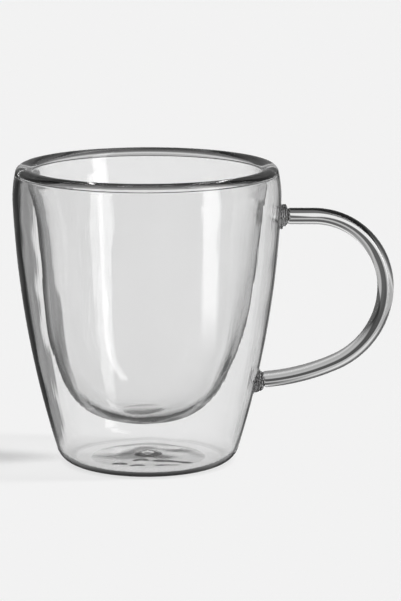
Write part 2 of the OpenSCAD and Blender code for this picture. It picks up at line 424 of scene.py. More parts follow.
belly_c = straight_c + (straight_r - belly_r) * towards(BELLY_LEAN)
floor_c = belly_c + (belly_r - floor_r) * towards(FLOOR_LEAN)
mouth_r = flare_r + BOWL_T
mouth_rise = TOP_Z - flare_c.y
mouth_in = flare_c.x - lip_c.x
mouth_round_r = (mouth_r ** 2 - mouth_rise ** 2 - mouth_in ** 2) / (2 * (mouth_r - mouth_rise))
mouth_c = Vector((lip_c.x, TOP_Z - mouth_round_r))
print("bowl floor radius", round(floor_c.x, 4), "lip rounds", round(lip_r, 5), round(mouth_round_r, 5))

# %% The base
FOOT_W = 5 * MM
PUNT_H = 0.8 * MM
VENT_R = 2.5 * MM
punt_edge_r = heel_c.x - FOOT_W
punt_r = cap_r(punt_edge_r, PUNT_H)
punt_c = Vector((0, PUNT_H - punt_r))
dome_r = punt_r + BASE_T
dome_edge_r = math.sqrt(dome_r ** 2 - (BASE_T - punt_c.y) ** 2)
print("punt edge", round(punt_edge_r, 4), "dome radius", round(dome_r, 4))

# %% [markdown]
# ## The glass body
# On the bench the bowl, the shell and the lip are three pieces, and the torch makes them one: light
# passes the seams without a trace. Three closed meshes that touch would draw a mirror at each seam, so
# the picture's body is one unbroken skin. The pencil starts in the middle of the bowl's floor, climbs
# the inside, goes over the lip and down the outside, turns in through the vent and comes back up the
# air gap to the bowl's underside.

# %% Draw and turn the body
BODY_STEPS = 192
PUNT_STEP = 0.4 * MM
lens_r = cap_r(floor_c.x, LENS_H)
lens_c = Vector((0, BOWL_Z + BOWL_T + LENS_H - lens_r))
pencil = Pencil((0, lens_c.y + lens_r))
pencil.turn(lens_c, on_dome(lens_r, floor_c.x) - 90)
pencil.turn(floor_c, 90 - FLOOR_LEAN)
pencil.turn(belly_c, FLOOR_LEAN - BELLY_LEAN)
pencil.turn(straight_c, BELLY_LEAN - WAIST_LEAN)
pencil.turn(flare_c, bearing(flare_c, mouth_c) - (180 - WAIST_LEAN))
pencil.turn(mouth_c, 90 - bearing(flare_c, mouth_c))
pencil.turn(lip_c, bearing(shoulder_c, lip_c) - 90)
pencil.turn(shoulder_c, -SHOULDER_LEAN - bearing(shoulder_c, lip_c))
pencil.turn(wall_c, bearing(wall_c, heel_c) + SHOULDER_LEAN)
pencil.turn(heel_c, -90 - bearing(wall_c, heel_c))
pencil.run((punt_edge_r, 0))
pencil.turn(punt_c, on_dome(punt_r, VENT_R) - on_dome(punt_r, punt_edge_r), PUNT_STEP)
pencil.run((VENT_R, punt_c.y + math.sqrt(dome_r ** 2 - VENT_R ** 2)))
pencil.turn(punt_c, on_dome(dome_r, dome_edge_r) - on_dome(dome_r, VENT_R))
pencil.run((heel_in_c.x, BASE_T))
pencil.turn(heel_in_c, bearing(wall_in_c, heel_in_c) + 90)
pencil.turn(wall_in_c, -SHOULDER_LEAN - bearing(wall_in_c, heel_in_c))
pencil.turn(shoulder_c, seam_in + SHOULDER_LEAN)
pencil.turn(Vector((bowl_seam_r + CREVICE_W / 2, SEAM_Z)), 180)
pencil.turn(flare_c, LIP_LEAN - WAIST_LEAN)
pencil.turn(straight_c, WAIST_LEAN - BELLY_LEAN)
pencil.turn(belly_c, BELLY_LEAN - FLOOR_LEAN)
pencil.turn(floor_c, FLOOR_LEAN - 90)
print("pencil stops at", tuple(round(v, 6) for v in pencil.tip.co), "floor flat", round(floor_c.x, 4))
pencil.run((0, BOWL_Z))
body_mesh = pencil.lathe(BODY_STEPS)

# %% [markdown]
# Hand-shaped glass is never quite even. The floor of the bowl and the base were still soft when the cup
# was set down, so their faces roll by a tenth or two of a millimetre, which bends the view through them.
# The walls roll far less. The bowl also hangs a little off the axis and bulges above its middle. The ring
# that rests on the table stays flat.

# %% Let the soft glass roll
BOWL_TILT = 1.5 * MM
BOWL_BULGE = 1.1 * MM
BOWL_GAP = 1.5 * SHELL_T
ROLL_SIZE = 9 * MM
FLOOR_ROLL = 0.16 * MM
WALL_ROLL = 0.03 * MM
SOFT_R = 20 * MM
RESTING_Z = 0.02 * MM
body_mesh.normal_update()
for vert in body_mesh.verts:
    out = math.hypot(vert.co.x, vert.co.y)
    resting = vert.co.z < RESTING_Z
    soft = max(0.0, 1 - out / SOFT_R)
    roll = noise.noise(vert.co / ROLL_SIZE)
    of_bowl = out < wall_x(vert.co.z) - BOWL_GAP and vert.co.z > BOWL_Z - MM
    if of_bowl:
        rise = min(1.0, max(0.0, (vert.co.z - BOWL_Z) / (SEAM_Z - BOWL_Z)))
        vert.co.x += BOWL_BULGE * math.sin(math.pi * rise * rise) - BOWL_TILT * (1 - rise)
    if not resting:
        vert.co += vert.normal * roll * (WALL_ROLL + FLOOR_ROLL * min(1.0, 2 * soft))
print("glass is soft within", SOFT_R, "m of the axis")

# %% [markdown]
# The paddle that pushed the base up left a few shallow dents under it. Each is a small bell shape, given
# by its place, its half length and its half width in millimetres, and its turn in degrees. Light inside
# the base meets the underside almost at the angle where glass turns into a mirror, so even a shallow
# dent shows as a dark curl.

# %% Dent the base
DENTS = ((-2.2, -8.3, 1.6, 1.4, 0), (-3, -15, 1.6, 1.3, 20), (-8.6, -12.5, 1.5, 1.3, -20),
         (9, -10.5, 5, 1.5, -12), (7.5, -14.5, 3.2, 1.3, 0))
DENT_DEEP = 0.7 * MM
FACING_DOWN = -0.5


def dent_depth(place):
    """Depth of the dents at a place under the base."""
    deep = 0.0
    for x, y, half_length, half_width, turned in DENTS:
        away = Matrix.Rotation(-math.radians(turned), 2) @ (place.xy / MM - Vector((x, y)))
        deep += math.exp(-(away.x / half_length) ** 2 - (away.y / half_width) ** 2)
    return DENT_DEEP * min(1.0, deep)


for vert in body_mesh.verts:
    under = vert.normal.z < FACING_DOWN and RESTING_Z < vert.co.z < BASE_T
    if under and VENT_R + MM < math.hypot(vert.co.x, vert.co.y) < punt_edge_r:
        vert.co.z += dent_depth(vert.co)
body_mesh.normal_update()
print("dents", len(DENTS))
piece("glass_body", body_mesh, "clear_glass", clear_glass,
      "inner_bowl", "outer_shell", "rim_bead")

# %% [markdown]
# ## The vent's pip
# Air trapped between hot walls would burst them, so the base keeps a small vent until the lip is closed.
# A drop of glass then seals it. It is a separate drop that never quite melts away, so it stays a piece
# of its own with a hair's breadth round it, twisted as the rod that laid it was drawn off.

# %% Draw and twist the pip
HAIR = 0.03 * MM
PIP_SIDES = 64
PIP_TWIST = 1.6
PIP_LOBES = 3
PIP_DENT = 0.25 * MM
pip_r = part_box("vent_seal")[1].x
pip_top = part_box("vent_seal")[1].z
pip_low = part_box("vent_seal")[0].z
plug_r = VENT_R - HAIR
seat_r = dome_r + HAIR
seat_z = punt_c.y + math.sqrt(seat_r ** 2 - pip_r ** 2)
head_r = cap_r(pip_r, pip_top - seat_z)
plug_z = punt_c.y + math.sqrt(punt_r ** 2 - plug_r ** 2)
drop_r = cap_r(plug_r, plug_z - pip_low)
pencil = Pencil((0, pip_top))
pencil.turn(Vector((0, pip_top - head_r)), on_dome(head_r, pip_r) - 90)
pencil.turn(punt_c, on_dome(seat_r, plug_r) - on_dome(seat_r, pip_r))
pencil.run((plug_r, plug_z))
pencil.turn(Vector((0, pip_low + drop_r)), on_dome(drop_r, plug_r) - 90)
pip_mesh = pencil.lathe(PIP_SIDES)
for vert in pip_mesh.verts:
    out = math.hypot(vert.co.x, vert.co.y)
    if vert.co.z > seat_z + HAIR and out < pip_r - HAIR:
        share = out / pip_r
        turn = math.atan2(vert.co.y, vert.co.x) + PIP_TWIST * share * math.pi
        vert.co.z += PIP_DENT * math.sin(PIP_LOBES * turn) * 4 * share * (1 - share)
bmesh.ops.recalc_face_normals(pip_mesh, faces=pip_mesh.faces[:])
piece("vent_pip", pip_mesh, "fused_glass", pip_glass, "vent_seal")

# %% [markdown]
# ## The handle
# The ear is one solid rod, bent hot. A curve with a bevel could stand in for it, but a ring of vertices
# that is extruded along the upper arm and spun round the bends gives clean rounds and exact arcs. Below,
# the rod turns through a tight arc that eases into a wide one. Their two radii follow from where the
# lower arm has to end: two arcs, two unknowns, two lengths to cover. Each end is drawn to a round nose,
# because the flame rounds a rod's end before it is pressed into the molten collar.

# %% The rod's line
LOWER_Z = 25.7 * MM
LOWER_SLOPE = 5
EASE_SLOPE = 24
UPPER_BEND_R = 22.8 * MM
WELD_L = 3 * MM
rod_low, rod_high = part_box("handle_rod")
rod_r = (rod_high.y - rod_low.y) / 2
reach_x = rod_high.x - rod_r
upper_z = rod_high.z - rod_r
upper_bend = Vector((reach_x - UPPER_BEND_R, upper_z - UPPER_BEND_R))
upper_start = Vector((wall_x(upper_z) + WELD_L, 0, upper_z))
lower_way = Vector((cosine(LOWER_SLOPE), 0, sine(LOWER_SLOPE)))
lower_end = Vector((wall_x(LOWER_Z), 0, LOWER_Z)) + WELD_L * lower_way
tight, wide = 90 - EASE_SLOPE, 90 - LOWER_SLOPE
spans = Matrix(((1 - cosine(tight), cosine(tight) - cosine(wide)),
                (sine(tight), sine(wide) - sine(tight))))
to_cover = Vector((reach_x - lower_end.x, upper_bend.y - lower_end.z))
lower_bend_r, ease_bend_r = spans.inverted() @ to_cover
lower_bend = Vector((reach_x - lower_bend_r, upper_bend.y))
ease_bend = lower_bend + (lower_bend_r - ease_bend_r) * towards(tight)
print("rod radius", round(rod_r, 5), "lower bends", round(lower_bend_r, 5), round(ease_bend_r, 5))

# %% Sweep the rod
ROD_SIDES = 40
BEND_STEPS = 36
NOSE_STEPS = 10
NOSE_SHARE = 0.6


def ring_of(made, kind=bmesh.types.BMEdge):
    """The new ring that an extrusion or a spin ends with."""
    return [g for g in made if isinstance(g, kind)]


def extrude_ring(bm, edges, move):
    """Extrude a ring of edges and move the new ring."""
    made = bmesh.ops.extrude_edge_only(bm, edges=edges)["geom"]
    bmesh.ops.translate(bm, verts=ring_of(made, bmesh.types.BMVert), vec=move)
    return ring_of(made)


def round_nose(bm, edges, way, r):
    """Close a ring with a round nose that points along a direction."""
    centre = sum((v.co for e in edges for v in e.verts), Vector()) / (2 * len(edges))
    for step in range(1, NOSE_STEPS):
        lift = 90 * step / NOSE_STEPS
        past = 90 * (step - 1) / NOSE_STEPS
        edges = extrude_ring(bm, edges, way * r * (sine(lift) - sine(past)))
        verts = list({v for e in edges for v in e.verts})
        middle = centre + way * r * sine(lift)
        bmesh.ops.scale(bm, verts=verts, vec=Vector((1, 1, 1)) * (cosine(lift) / cosine(past)),
                        space=Matrix.Translation(-middle))
    tip = extrude_ring(bm, edges, Vector((0, 0, 0)))
    bmesh.ops.pointmerge(bm, verts=list({v for e in tip for v in e.verts}), merge_co=centre + way * r)


rod_mesh = bmesh.new()
stand_up = Matrix.Rotation(math.pi / 2, 4, "Y")
start = bmesh.ops.create_circle(rod_mesh, segments=ROD_SIDES, radius=rod_r,
                                matrix=Matrix.Translation(upper_start) @ stand_up)
first_ring = list({e for v in start["verts"] for e in v.link_edges})
ring = extrude_ring(rod_mesh, first_ring, Vector((upper_bend.x - upper_start.x, 0, 0)))
bends = ((upper_bend, -90), (lower_bend, EASE_SLOPE - 90), (ease_bend, LOWER_SLOPE - EASE_SLOPE))
for centre, turn in bends:
    made = bmesh.ops.spin(rod_mesh, geom=ring, cent=(centre.x, 0, centre.y), axis=(0, -1, 0),
                          angle=math.radians(turn), steps=BEND_STEPS)
    ring = ring_of(made["geom_last"])
round_nose(rod_mesh, ring, -lower_way, rod_r * NOSE_SHARE)
round_nose(rod_mesh, first_ring, Vector((-1, 0, 0)), rod_r * NOSE_SHARE)
bmesh.ops.remove_doubles(rod_mesh, verts=rod_mesh.verts[:], dist=SAME_POINT)
bmesh.ops.recalc_face_normals(rod_mesh, faces=rod_mesh.faces[:])
piece("bent_rod", rod_mesh, "clear_glass", rod_glass, "handle_rod")

# %% [markdown]
# ## The collars
# Each end of the rod sits in a knob of molten glass that was pressed on the wall and crinkled as it was
# worked. A ball is the start. Rings that wander round it are the crinkles, two sizes of noise make it
# lumpy, and whatever would reach into the wall is pressed flat against it, a hair's breadth away.

# %% Make a collar
BALL_SIDES = 120
BALL_RINGS = 90
KNOB_R = 4.1 * MM
KNOB_SINK_SHARE = 0.3
RING_GAP = 1.05 * MM
RING = 0.22 * MM
RING_WANDER = 0.9
LUMP_SIZE = 1.6 * MM
LUMP = 0.45 * MM
CRUMPLE_SIZE = 0.8 * MM
CRUMPLE = 0.25 * MM
UPPER_SEED = 3
LOWER_SEED = 11


def collar(name, z, way, node, seed):
    """A lumpy molten collar round the rod's end, pressed against the cup's wall at a height."""
    bm = bmesh.new()
    bmesh.ops.create_uvsphere(bm, u_segments=BALL_SIDES, v_segments=BALL_RINGS, radius=KNOB_R)
    for vert in bm.verts:
        wander = RING_WANDER * noise.noise(vert.co / LUMP_SIZE + Vector((0, 0, seed)))
        crinkle = RING * math.sin(math.tau * (vert.co.z / RING_GAP + wander))
        vert.co.xy *= 1 + crinkle / KNOB_R
        lump = LUMP * noise.noise(vert.co / LUMP_SIZE + Vector((seed, 0, 0)))
        crumple = CRUMPLE * noise.noise(vert.co / CRUMPLE_SIZE + Vector((0, seed, 0)))
        vert.co += vert.co.normalized() * (lump + crumple)
    middle = Vector((wall_x(z), 0, z)) - way * KNOB_R * KNOB_SINK_SHARE
    turn = Vector((0, 0, 1)).rotation_difference(way).to_matrix().to_4x4()
    bmesh.ops.transform(bm, verts=bm.verts[:], matrix=Matrix.Translation(middle) @ turn)
    for vert in bm.verts:
        out = math.hypot(vert.co.x, vert.co.y)
        wall = wall_x(vert.co.z) + HAIR
        if out < wall:
            vert.co.xy *= wall / out
    bmesh.ops.recalc_face_normals(bm, faces=bm.faces[:])
    piece(name, bm, "fused_glass", fused_glass, node)


collar("upper_collar", upper_z, Vector((1, 0, 0)), "upper_handle_weld", UPPER_SEED)
collar("lower_collar", LOWER_Z, lower_way, "lower_handle_weld", LOWER_SEED)

# %% [markdown]
# ## Floor and light
# Clear glass is shown on a pale, evenly lit floor, so that light which passes straight through the
# walls stays bright. The edges need something dark to bend into view, which a studio gets from black
# cards round the cup. Cards would be seen through the glass and would shade the floor, so here the floor
# and the sky take their place: light that was mirrored in the glass, or bent by it, meets grey tones of
# its own there, and all other light meets a plain floor and a plain sky.
#
# A Light Path node counts the mirrors that a ray met and the surfaces that it crossed, two for each wall
# or rod. The counts are whole numbers, so each test stands half a step past one.

# %% Helpers for light paths
HALF = 0.5
IN_AND_OUT = 2


def blend(tree, share, first, second):
    """A Mix node between two greys, each a socket or a number."""
    node = tree.nodes.new("ShaderNodeMix")
    node.data_type = "RGBA"
    tree.links.new(share, node.inputs["Factor"])
    for socket, value in zip((node.inputs["A"], node.inputs["B"]), (first, second)):
        if isinstance(value, bpy.types.NodeSocket):
            tree.links.new(value, socket)
        else:
            socket.default_value = (value, value, value, 1)
    return node.outputs["Result"]


def tree_helpers(tree):
    """The helpers for numbers, blends and tones, each set to one node tree."""
    return partial(calc, tree), partial(blend, tree), partial(tone_ramp, tree)


def bent_light(tree, path):
    """One for light that was mirrored in glass or has crossed only one wall or rod, else zero."""
    bounced = calc(tree, "GREATER_THAN", path.outputs["Glossy Depth"], HALF)
    entered = calc(tree, "GREATER_THAN", path.outputs["Transmission Depth"], HALF)
    thin = calc(tree, "LESS_THAN", path.outputs["Transmission Depth"], IN_AND_OUT + HALF)
    return calc(tree, "MAXIMUM", bounced, calc(tree, "MULTIPLY", entered, thin))


def flat_sheet(name, width, length, finish):
    """A flat mesh of one face, centred on the origin."""
    bm = bmesh.new()
    bmesh.ops.create_grid(bm, x_segments=1, y_segments=1, size=HALF)
    bmesh.ops.scale(bm, verts=bm.verts[:], vec=(width, length, 1))
    mesh = bpy.data.meshes.new(name)
    bm.to_mesh(mesh)
    bm.free()
    mesh.materials.append(finish)
    return mesh


print("one wall is", IN_AND_OUT, "crossings")

# %% [markdown]
# The floor is one large matt sheet. It glows a little, so that it stays pale right to the edge of the
# picture, and it is darker in the shade under the base.

# %% The pale floor
FLOOR_SIDE = 12
FLOOR_GLOW = 0.12
SHADE_TONES = ((0.0, 0.78), (0.0255, 0.78), (0.0285, 0.9), (0.05, 0.9))
pale = bpy.data.materials.new("pale_floor")
pale.use_nodes = True
floor = bpy.data.objects.new("floor", flat_sheet("floor", FLOOR_SIDE, FLOOR_SIDE, pale))
bpy.context.scene.collection.objects.link(floor)
floor_tree = pale.node_tree
floor_calc, floor_blend, floor_tones = tree_helpers(floor_tree)
matt = floor_tree.nodes["Principled BSDF"]
matt.inputs["Roughness"].default_value = 1
matt.inputs["Specular IOR Level"].default_value = 0
matt.inputs["Emission Strength"].default_value = FLOOR_GLOW
floor_coord = floor_tree.nodes.new("ShaderNodeTexCoord")
floor_split = floor_tree.nodes.new("ShaderNodeSeparateXYZ")
floor_tree.links.new(floor_coord.outputs["Object"], floor_split.inputs["Vector"])
from_axis = floor_tree.nodes.new("ShaderNodeVectorMath")
from_axis.operation = "LENGTH"
floor_tree.links.new(floor_coord.outputs["Object"], from_axis.inputs[0])
land_x, land_y, land_r = floor_split.outputs["X"], floor_split.outputs["Y"], from_axis.outputs["Value"]
shade = floor_tones(land_r, SHADE_TONES)
floor_tree.links.new(shade, matt.inputs["Base Color"])
floor_tree.links.new(shade, matt.inputs["Emission Color"])
print("floor", FLOOR_SIDE, "m")

# %% [markdown]
# Where a bent ray lands says how far the glass has turned it. The tall side of the handle turns light
# sideways, so its tones go by the angle round a point below it, and they fade where rays land near.
# The length of the ray's last stretch gives the height that it left from, squared, which tells the low
# arm from the rest. The lip bends light as a rod does. From its rear that same number falls below zero
# as the ray lands further back, and from its left half the ray lands clear of the handle. Tones over
# a place are in metres, and tones over an angle are in degrees.

# %% What a rod bends into view
ROD_PIVOT_X = 75.5 * MM
ROD_TONES = ((-30, 0.02), (-12, 0.02), (-9.5, 0.85), (0, 0.85), (1.5, 0.1), (20, 0.1), (27, 0.5),
             (60, 0.4))
NEAR_TONES = ((0.08, 0.2), (0.18, 0.16), (0.2, 1.0))
LOW_ARM_HEIGHT_2 = ((0.0014, 1), (0.0034, 0))
LOW_ARM_TONES = ((0.0, 0.26), (0.028, 0.3), (0.042, 0.68), (0.062, 0.42), (0.1, 0.5), (0.12, 0.36),
                 (0.135, 0.07), (0.6, 0.07))
LIP_BACK = 6 * MM
HANDLE_X = 30 * MM
LIP_TONES = ((0.10, 0.03), (0.135, 0.12), (0.16, 0.16), (0.182, 0.38), (0.2, 0.68), (0.215, 0.66),
             (0.25, 0.42))
THIN_FRONT_TONE = 0.06
floor_path = floor_tree.nodes.new("ShaderNodeLightPath")
ray_length = floor_path.outputs["Ray Length"]
rod_turn = floor_calc("ARCTAN2", floor_calc("SUBTRACT", land_x, ROD_PIVOT_X), land_y)
rod_tone = floor_tones(floor_calc("DEGREES", rod_turn), ROD_TONES)
rod_tone = floor_calc("MULTIPLY", rod_tone, floor_tones(land_y, NEAR_TONES))
height_2 = floor_calc("SUBTRACT", floor_calc("POWER", ray_length, 2), floor_calc("POWER", land_y, 2))
low_arm = floor_tones(height_2, LOW_ARM_HEIGHT_2)
rod_tone = floor_blend(low_arm, rod_tone, floor_tones(land_y, LOW_ARM_TONES))
from_lip = floor_calc("LESS_THAN", height_2, floor_calc("MULTIPLY", land_y, -LIP_BACK))
from_lip = floor_calc("MAXIMUM", from_lip, floor_calc("LESS_THAN", land_x, HANDLE_X))
rod_tone = floor_blend(from_lip, rod_tone, floor_tones(land_y, LIP_TONES))
rod_view = floor_blend(floor_calc("LESS_THAN", land_y, 0), rod_tone, THIN_FRONT_TONE)
print("rod tones", len(ROD_TONES), "lip tones", len(LIP_TONES))

# %% [markdown]
# A wall mirrors light inside its own thickness and sends it out at the side. The swing is the angle at
# which the ray lands outside the wall's outline on the floor. That outline widens a little with the place
# further back, because such rays left from higher up the tapered wall.

# %% What the walls mirror at the sides
LEFT_TONES = ((-30, 0.26), (-12, 0.26), (-7, 0.6), (-3, 0.75), (3, 0.37), (8, 0.2), (13, 0.1),
              (20, 0.05), (27, 0.027), (36, 0.022), (38.5, 0.2), (60, 0.3))
RIGHT_TONES = ((-30, 0.6), (0, 0.75), (7, 0.5), (10, 0.3), (14, 0.1), (21, 0.06), (24, 0.3), (27, 0.55),
               (60, 0.55))
WALL_OUT = 29 * MM
WALL_OUT_PER_M = 0.05
SWING_BACK = 10 * MM
bounces, crossings = floor_path.outputs["Glossy Depth"], floor_path.outputs["Transmission Depth"]
wall_out = floor_calc("ADD", floor_calc("MULTIPLY", land_y, WALL_OUT_PER_M), WALL_OUT)
wall_out = floor_calc("MINIMUM", wall_out, BODY_R)
aside = floor_calc("SUBTRACT", floor_calc("ABSOLUTE", land_x), wall_out)
swing = floor_calc("ARCTAN2", aside, floor_calc("ADD", land_y, SWING_BACK))
swing = floor_calc("DEGREES", swing)
on_right = floor_calc("GREATER_THAN", land_x, 0)
side_tone = floor_blend(on_right, floor_tones(swing, LEFT_TONES), floor_tones(swing, RIGHT_TONES))
print("side tones", len(LEFT_TONES), len(RIGHT_TONES))

# %% [markdown]
# Light that the wall mirrors forwards meets painted shade, a dark ring round the heel close by. Further
# out, on the right, lies a painted pool of light that glows without a lamp, which draws the streak low on
# the wall. Light that was mirrored by the outer face near the table meets a painted contact shadow, a
# dark line round the contact.

# %% What the walls mirror in front
FRONT_EDGE = ((-0.02, 1), (0.03, 0))
HEEL_SHADE_TONES = ((0.0245, 0.04), (0.0285, 0.26))
POOL_TURN = 55
POOL_WIDTH = ((-8, 0), (-6.5, 1), (6.5, 1), (8, 0))
POOL_REACH = ((0.10, 0), (0.17, 1))
POOL_TONE = 3.2
CONTACT_SHADOW_R = 33 * MM
CONTACT_SHADOW_TONE = 0.03
# The pool is painted light: the floor glows there for light mirrored at most once.
pool_turn = floor_calc("ARCTAN2", land_x, floor_calc("MULTIPLY", land_y, -1))
pool_side = floor_calc("SUBTRACT", floor_calc("DEGREES", pool_turn), POOL_TURN)
pool = floor_calc("MULTIPLY", floor_tones(pool_side, POOL_WIDTH), floor_tones(land_r, POOL_REACH))
pool = floor_calc("MULTIPLY", pool, POOL_TONE)
pool = floor_calc("MULTIPLY", pool, floor_calc("LESS_THAN", bounces, 1 + HALF))
# Painted shade round the heel.
front_tone = floor_calc("MAXIMUM", pool, floor_tones(land_r, HEEL_SHADE_TONES))
shell_tone = floor_blend(floor_tones(land_y, FRONT_EDGE), side_tone, front_tone)
not_entered = floor_calc("LESS_THAN", crossings, HALF)
# A painted contact shadow, for light mirrored off the outer face.
in_contact_shadow = floor_calc("MULTIPLY", not_entered, floor_calc("LESS_THAN", land_r, CONTACT_SHADOW_R))
shell_tone = floor_blend(in_contact_shadow, shell_tone, CONTACT_SHADOW_TONE)
print("pool at", POOL_TURN, "degrees")

# %% [markdown]
# The bowl mirrors light behind the shell, and it has tones of its own for its sides and for its floor.
# Light that crossed the shell but was mirrored before it crossed the bowl skims the bowl's skin. Light
# that was mirrored many times was guided along inside a wall, and the tone that it meets is painted
# darker with each mirror.

# %% What the bowl mirrors
BOWL_LEFT_TONES = ((10, 0.1), (14, 0.025), (20, 0.02), (24, 0.2), (34, 0.25), (40, 0.5), (60, 0.6))
BOWL_RIGHT_TONES = ((10, 0.3), (14, 0.1), (18, 0.15), (21, 0.45), (60, 0.6))
BOWL_FLOOR_TONES = ((-0.02, 0.05), (0.006, 0.05), (0.011, 0.4), (0.022, 0.45), (0.03, 0.15),
                    (0.06, 0.15))
BOWL_SIDE = ((0.06, 0), (0.10, 1))
SKIN_TONE = 0.3
SKIN_SWING = ((-6, 0), (0, 1))
SKIN_BACK = ((0.08, 0), (0.12, 1))
GUIDED_SHADE_TONES = ((2.5, 1.0), (5.5, 0.2))
past_shell = floor_calc("GREATER_THAN", crossings, IN_AND_OUT + HALF)
past_bowl = floor_calc("GREATER_THAN", crossings, 2 * IN_AND_OUT + HALF)
bowl_left, bowl_right = floor_tones(swing, BOWL_LEFT_TONES), floor_tones(swing, BOWL_RIGHT_TONES)
bowl_tone = floor_blend(on_right, bowl_left, bowl_right)
bowl_floor = floor_tones(land_y, BOWL_FLOOR_TONES)
bowl_tone = floor_blend(floor_tones(land_y, BOWL_SIDE), bowl_floor, bowl_tone)
skin_side = floor_calc("MAXIMUM", floor_tones(swing, SKIN_SWING), floor_tones(land_y, SKIN_BACK))
skin_tone = floor_blend(skin_side, SKIN_TONE, side_tone)
bowl_tone = floor_blend(past_bowl, skin_tone, bowl_tone)
mirror_view = floor_blend(past_shell, shell_tone, bowl_tone)
# Painted shade: the more mirrors, the darker the floor's tone.
mirror_view = floor_calc("MULTIPLY", mirror_view, floor_tones(bounces, GUIDED_SHADE_TONES))
print("bowl tones", len(BOWL_LEFT_TONES), len(BOWL_RIGHT_TONES))

# %% [markdown]
# Near the edges of the cup the walls turn light aside without a mirror. Such light swings past an angle
# that grows as it lands further back, and it leaves the wall at a slant. The squareness is about the
# cosine of the angle at which it leaves. The ray's last stretch and its landing place give it, so that
# test is the same all round the cup.

# %% What slanted walls turn aside
SLANT_TONE = 0.25
SHELL_SLANT = 3
SHELL_SLANT_MOST = 9
SHELL_SLANT_PER_M = 28
BOWL_SLANT = 10
BOWL_SLANT_FROM = 0.22
BOWL_SLANT_PER_M = 50
SLANT_EDGE = ((-0.7, 0), (0.7, 1))
RIGHT_SHARE = 0.12
LEAVING_R = 39 * MM
SQUARE_TONES = ((0.62, 1), (0.75, 0))
FAR_SWING_TONES = ((40, 1), (48, 0))
shell_from = floor_calc("ADD", floor_calc("MULTIPLY", land_y, SHELL_SLANT_PER_M), SHELL_SLANT)
shell_from = floor_calc("MINIMUM", shell_from, SHELL_SLANT_MOST)
bowl_past = floor_calc("MAXIMUM", floor_calc("SUBTRACT", land_y, BOWL_SLANT_FROM), 0)
bowl_from = floor_calc("ADD", floor_calc("MULTIPLY", bowl_past, BOWL_SLANT_PER_M), BOWL_SLANT)
slant_from = floor_blend(past_bowl, shell_from, bowl_from)
gained = floor_calc("SUBTRACT", floor_calc("POWER", land_r, 2), floor_calc("POWER", ray_length, 2))
squareness = floor_calc("DIVIDE", gained, floor_calc("MULTIPLY", ray_length, 2 * LEAVING_R))
slant = floor_tones(floor_calc("SUBTRACT", swing, slant_from), SLANT_EDGE)
for limit in (floor_blend(on_right, 1, RIGHT_SHARE), floor_calc("GREATER_THAN", land_y, 0),
              floor_tones(squareness, SQUARE_TONES), floor_tones(swing, FAR_SWING_TONES)):
    slant = floor_calc("MULTIPLY", slant, limit)
print("slants from", SHELL_SLANT, "and", BOWL_SLANT)

# %% [markdown]
# Light that crossed three walls and lands near came down past the crevice under the lip, which is what
# draws the lines below the rim. With those tones the floor is complete, and its two looks are joined.

# %% Join the floor's tones
UNDER_LIP_TONES = ((-0.05, 0.03), (0.045, 0.03), (0.06, 0.1), (0.07, 0.15), (0.092, 0.16), (0.102, 0.33),
                   (0.115, 0.48), (0.122, 0.15), (0.13, 0.15), (0.14, 0.8))
off_three = floor_calc("ABSOLUTE", floor_calc("SUBTRACT", crossings, 3 * IN_AND_OUT))
three_walls = floor_calc("LESS_THAN", off_three, HALF)
lands_near = floor_calc("LESS_THAN", land_y, UNDER_LIP_TONES[-1][0])
under_lip = floor_calc("MULTIPLY", three_walls, lands_near)
turned_aside = floor_calc("MULTIPLY", past_shell, floor_calc("MAXIMUM", slant, under_lip))
bent_share = floor_calc("MAXIMUM", bent_light(floor_tree, floor_path), turned_aside)
aside_tone = floor_blend(under_lip, SLANT_TONE, floor_tones(land_y, UNDER_LIP_TONES))
plain_view = floor_blend(past_shell, rod_view, aside_tone)
mirrored = floor_calc("GREATER_THAN", bounces, HALF)
bent_view = floor_tree.nodes.new("ShaderNodeEmission")
floor_tree.links.new(floor_blend(mirrored, plain_view, mirror_view), bent_view.inputs["Color"])
floor_mix = floor_tree.nodes.new("ShaderNodeMixShader")
floor_tree.links.new(bent_share, floor_mix.inputs["Fac"])
floor_tree.links.new(matt.outputs["BSDF"], floor_mix.inputs[1])
floor_tree.links.new(bent_view.outputs["Emission"], floor_mix.inputs[2])
floor_tree.links.new(floor_mix.outputs["Shader"], floor_tree.nodes["Material Output"].inputs["Surface"])
print("tones under the lip", len(UNDER_LIP_TONES))

# %% [markdown]
# The sky does the same for rays that leave upwards. It is a plain pale grey to the camera and through
# the walls, and it doesn't light the floor, which glows and has the key light. A rod's rays meet tones
# by their rise. Those that go left, as they do from the lower bend, meet tones by how far they point to
# the back. Mirrored rays see a dim room that darkens upwards, with a bright strip low at the back for
# those that went inside the cup first.

# %% Sky tones
SEEN = 0.888
RISE_TONES = ((0.0, 0.5), (0.09, 0.5), (0.14, 0.1), (0.34, 0.1), (0.42, 0.8), (0.53, 0.8), (0.62, 0.4),
              (1.0, 0.4))
ASIDE_TONES = ((0.15, 0), (0.35, 0.3))
LEFTWARD = ((-0.12, 1), (-0.02, 0))
LOW_BEND_TONES = ((0.0, 0.06), (0.75, 0.06), (0.87, 0.12), (0.93, 0.5), (0.965, 0.8), (0.985, 0.7),
                  (1.0, 0.4))
ROOM_TONES = ((0.0, 0.28), (0.4, 0.28), (0.6, 0.06))
BEHIND = ((0.5, 0), (0.8, 1))
BACK_TONES = ((0.0, 0.85), (0.19, 0.85), (0.24, 0.55), (0.36, 0.2), (0.6, 0.05))
world = bpy.data.worlds.new("studio")
bpy.context.scene.world = world
world.use_nodes = True
sky_tree = world.node_tree
sky_calc, sky_blend, sky_tones = tree_helpers(sky_tree)
sky_path = sky_tree.nodes.new("ShaderNodeLightPath")
sky_bounces, sky_crossings = sky_path.outputs["Glossy Depth"], sky_path.outputs["Transmission Depth"]
sky_coord = sky_tree.nodes.new("ShaderNodeTexCoord")
